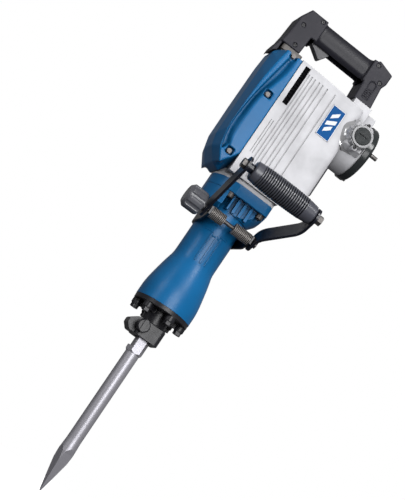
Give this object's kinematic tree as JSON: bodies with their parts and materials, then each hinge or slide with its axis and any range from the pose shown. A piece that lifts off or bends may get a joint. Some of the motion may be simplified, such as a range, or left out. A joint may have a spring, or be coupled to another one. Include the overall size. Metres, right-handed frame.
{
  "type": "electric demolition hammer",
  "caption": "Upright electric demolition hammer with D-handle, clamp-on side handle, flared barrel and a pointed hexagon-shank chisel.",
  "frame": {"origin": "mouth of the hexagon tool socket, on the tool axis", "axes": "+Z along the tool axis up to the D-handle, +X towards the motor's tail cover, -Y towards the nameplate and the side handle"},
  "size_m": [0.2855, 0.2777, 1.0437],
  "materials": {
    "painted_blue": "satin enamel over die-cast aluminium",
    "cast_silver": "fine silver-grey paint over die-cast aluminium",
    "black_casting": "black-oxidised cast steel",
    "tool_steel": "forged and ground",
    "zinc_screws": "zinc plated",
    "hardened_steel": "ground",
    "black_plastic": "fine moulded texture",
    "grip_rubber": "ribbed, slightly glossy",
    "knob_plastic": "moulded",
    "strap_steel": "black lacquered steel strap",
    "nameplate": "printed film",
    "copper": "bare copper",
    "laminations": "stacked electrical steel",
    "fan_plastic": "moulded",
    "carbon": "sintered",
    "cap_plastic": "bakelite"
  },
  "bodies": {
    "casing": {"front_cover": "black_casting", "front_bolts": "black_casting", "tool_bush": "hardened_steel", "anvil_guide": "hardened_steel", "cylinder_liner": "hardened_steel", "bearings": "hardened_steel", "stator_core": "laminations", "field_coils": "copper", "carbon_brushes": "carbon", "brush_holders": "copper", "brush_springs": "copper", "brush_caps": "cap_plastic", "brush_rings": "zinc_screws", "brush_screws": "zinc_screws", "cylinder_case": "painted_blue", "flange_bolts": "zinc_screws", "housing": "cast_silver", "gear_cover": "painted_blue", "cover_bolts": "zinc_screws", "motor_side_cover": "black_plastic", "tail_cover": "black_plastic", "tail_screws": "zinc_screws", "nameplate": "nameplate", "vent_grilles": "black_plastic", "handle_left": "black_plastic", "handle_right": "black_plastic", "handle_screws": "zinc_screws", "handle_pad": "black_casting", "leg_screws": "zinc_screws", "cable_gland": "grip_rubber", "switch_unit": "cap_plastic", "trigger_pin": "hardened_steel"},
    "retainer": {"retainer_pin": "black_casting"},
    "chisel": {"chisel": "tool_steel"},
    "anvil": {"anvil": "hardened_steel"},
    "ram": {"ram": "hardened_steel", "ram_ring": "grip_rubber"},
    "piston": {"piston": "hardened_steel", "piston_ring": "grip_rubber", "wrist_pin": "hardened_steel", "connecting_rod": "hardened_steel", "crank_pin": "hardened_steel"},
    "crank": {"crankshaft": "hardened_steel", "final_gear": "hardened_steel"},
    "first_shaft": {"first_gear": "hardened_steel"},
    "armature": {"armature_shaft": "hardened_steel", "armature_core": "laminations", "armature_windings": "copper", "commutator": "copper", "cooling_fan": "fan_plastic"},
    "clamp": {"clamp_band": "strap_steel", "clamp_sleeves": "zinc_screws", "clamp_bolt": "zinc_screws"},
    "side_handle": {"arm_left": "strap_steel", "arm_right": "strap_steel", "grip_sleeve": "grip_rubber", "grip_bolt": "zinc_screws"},
    "knob": {"clamp_knob": "knob_plastic"},
    "trigger": {"trigger": "black_plastic"},
    "lock": {"lock_button": "knob_plastic"}
  },
  "joints": [
    {"name": "chisel_slide", "type": "slide", "parent": "casing", "child": "chisel", "axis": [0, 0, 1], "range_m": [0, 0.026]},
    {"name": "anvil_slide", "type": "slide", "parent": "casing", "child": "anvil", "axis": [0, 0, 1], "range_m": [0, 0.026]},
    {"name": "ram_slide", "type": "slide", "parent": "casing", "child": "ram", "axis": [0, 0, 1], "range_m": [0, 0.026]},
    {"name": "piston_slide", "type": "slide", "parent": "casing", "child": "piston", "axis": [0, 0, 1], "range_m": [0, 0.036]},
    {"name": "armature_spin", "type": "hinge", "parent": "casing", "child": "armature", "pos_m": [0, 0, 0.544], "axis": [1, 0, 0], "continuous": true},
    {"name": "first_shaft_spin", "type": "hinge", "parent": "casing", "child": "first_shaft", "pos_m": [0, 0, 0.50525], "axis": [1, 0, 0], "continuous": true},
    {"name": "crank_spin", "type": "hinge", "parent": "casing", "child": "crank", "pos_m": [0, 0, 0.45125], "axis": [1, 0, 0], "continuous": true},
    {"name": "retainer_turn", "type": "hinge", "parent": "casing", "child": "retainer", "pos_m": [-0.019, 0, 0.018], "axis": [0, 1, 0], "range_deg": [0, 180]},
    {"name": "clamp_swivel", "type": "hinge", "parent": "casing", "child": "clamp", "pos_m": [0, 0, 0.2565], "axis": [0, 0, 1], "range_deg": [-30, 25]},
    {"name": "side_handle_tilt", "type": "hinge", "parent": "clamp", "child": "side_handle", "pos_m": [0, -0.07, 0.2565], "axis": [1, 0, 0], "range_deg": [-10, 75]},
    {"name": "knob_turn", "type": "hinge", "parent": "clamp", "child": "knob", "pos_m": [0, -0.07, 0.2565], "axis": [1, 0, 0], "range_deg": [-720, 0]},
    {"name": "trigger_pull", "type": "hinge", "parent": "casing", "child": "trigger", "pos_m": [-0.048, 0, 0.667], "axis": [0, -1, 0], "range_deg": [0, 9], "stiffness_Nm_per_rad": 0.8, "springref_deg": -5.73},
    {"name": "lock_press", "type": "slide", "parent": "casing", "child": "lock", "axis": [0, -1, 0], "range_m": [0, 0.003], "stiffness_N_per_m": 300, "springref_m": -0.001}
  ],
  "couplings": [
    {"joint": "anvil_slide", "follows": "chisel_slide", "ratio": 1},
    {"joint": "ram_slide", "follows": "chisel_slide", "ratio": 1},
    {"joint": "first_shaft_spin", "follows": "armature_spin", "ratio": -0.24},
    {"joint": "crank_spin", "follows": "armature_spin", "ratio": 0.068571}
  ]
}
